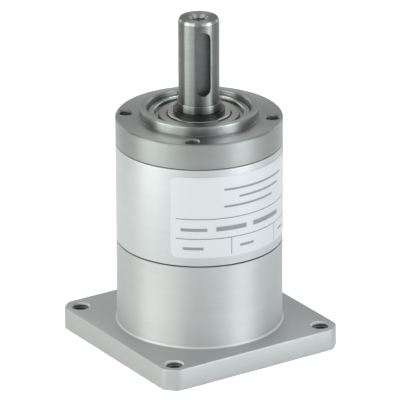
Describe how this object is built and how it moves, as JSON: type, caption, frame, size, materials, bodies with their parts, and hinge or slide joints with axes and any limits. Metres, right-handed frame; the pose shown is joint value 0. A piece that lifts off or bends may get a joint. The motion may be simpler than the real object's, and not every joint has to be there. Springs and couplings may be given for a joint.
{
  "type": "gear reducer",
  "caption": "Inline planetary gear reducer with a square motor plate, round housing and a keyed output shaft.",
  "frame": {"origin": "middle of the motor face, which the part stands on", "axes": "+Z along the output shaft, X and Y along the sides of the square plate"},
  "size_m": [0.056, 0.056, 0.0923],
  "materials": {
    "flange_aluminium": "fine turned, clear anodised",
    "ring_steel": "satin turned",
    "cover_aluminium": "fine turned, clear anodised",
    "gasket": "matte black",
    "label": "printed silver film",
    "plug": "matte black",
    "shaft_steel": "ground",
    "bearing_steel": "ground",
    "shield_steel": "pressed sheet",
    "black_steel": "black oxide",
    "gear_steel": "hobbed and hardened",
    "carrier_steel": "machined",
    "cage_brass": "machined"
  },
  "bodies": {
    "housing": {"motor_flange": "flange_aluminium", "ring_gear": "ring_steel", "output_cover": "cover_aluminium", "lower_gasket": "gasket", "upper_gasket": "gasket", "rating_label": "label", "access_plug": "plug", "output_bearing_outer_ring": "bearing_steel", "output_bearing_shield": "shield_steel", "input_bearing_outer_ring": "bearing_steel"},
    "output": {"output_shaft": "shaft_steel", "carrier_rear_plate": "carrier_steel", "planet_pin_1": "bearing_steel", "planet_pin_2": "bearing_steel", "planet_pin_3": "bearing_steel", "output_bearing_inner_ring": "bearing_steel", "shaft_circlip": "black_steel"},
    "input": {"input_shaft": "gear_steel", "clamp_collar": "cover_aluminium", "clamp_screw": "black_steel", "input_bearing_inner_ring": "bearing_steel"},
    "planet_1": {"planet_gear_1": "gear_steel"},
    "planet_2": {"planet_gear_2": "gear_steel"},
    "planet_3": {"planet_gear_3": "gear_steel"},
    "output_ball_set": {"output_bearing_cage": "cage_brass"},
    "input_ball_set": {"input_bearing_cage": "cage_brass"}
  },
  "joints": [
    {"name": "output_spin", "type": "hinge", "parent": "housing", "child": "output", "pos_m": [0, 0, 0.0788], "axis": [0, 0, 1], "continuous": true},
    {"name": "input_spin", "type": "hinge", "parent": "housing", "child": "input", "pos_m": [0, 0, 0.012], "axis": [0, 0, 1], "continuous": true},
    {"name": "planet_1_spin", "type": "hinge", "parent": "output", "child": "planet_1", "pos_m": [-0.00362, -0.01017, 0.0408], "axis": [0, 0, 1], "continuous": true},
    {"name": "planet_2_spin", "type": "hinge", "parent": "output", "child": "planet_2", "pos_m": [0.01062, 0.00195, 0.0408], "axis": [0, 0, 1], "continuous": true},
    {"name": "planet_3_spin", "type": "hinge", "parent": "output", "child": "planet_3", "pos_m": [-0.007, 0.00822, 0.0408], "axis": [0, 0, 1], "continuous": true},
    {"name": "output_ball_set_spin", "type": "hinge", "parent": "housing", "child": "output_ball_set", "pos_m": [0, 0, 0.0596], "axis": [0, 0, 1], "continuous": true},
    {"name": "input_ball_set_spin", "type": "hinge", "parent": "housing", "child": "input_ball_set", "pos_m": [0, 0, 0.02235], "axis": [0, 0, 1], "continuous": true}
  ],
  "couplings": [
    {"joint": "input_spin", "follows": "output_spin", "ratio": 4},
    {"joint": "planet_1_spin", "follows": "output_spin", "ratio": -3},
    {"joint": "planet_2_spin", "follows": "output_spin", "ratio": -3},
    {"joint": "planet_3_spin", "follows": "output_spin", "ratio": -3},
    {"joint": "output_ball_set_spin", "follows": "output_spin", "ratio": 0.4146},
    {"joint": "input_ball_set_spin", "follows": "output_spin", "ratio": 1.7846}
  ]
}
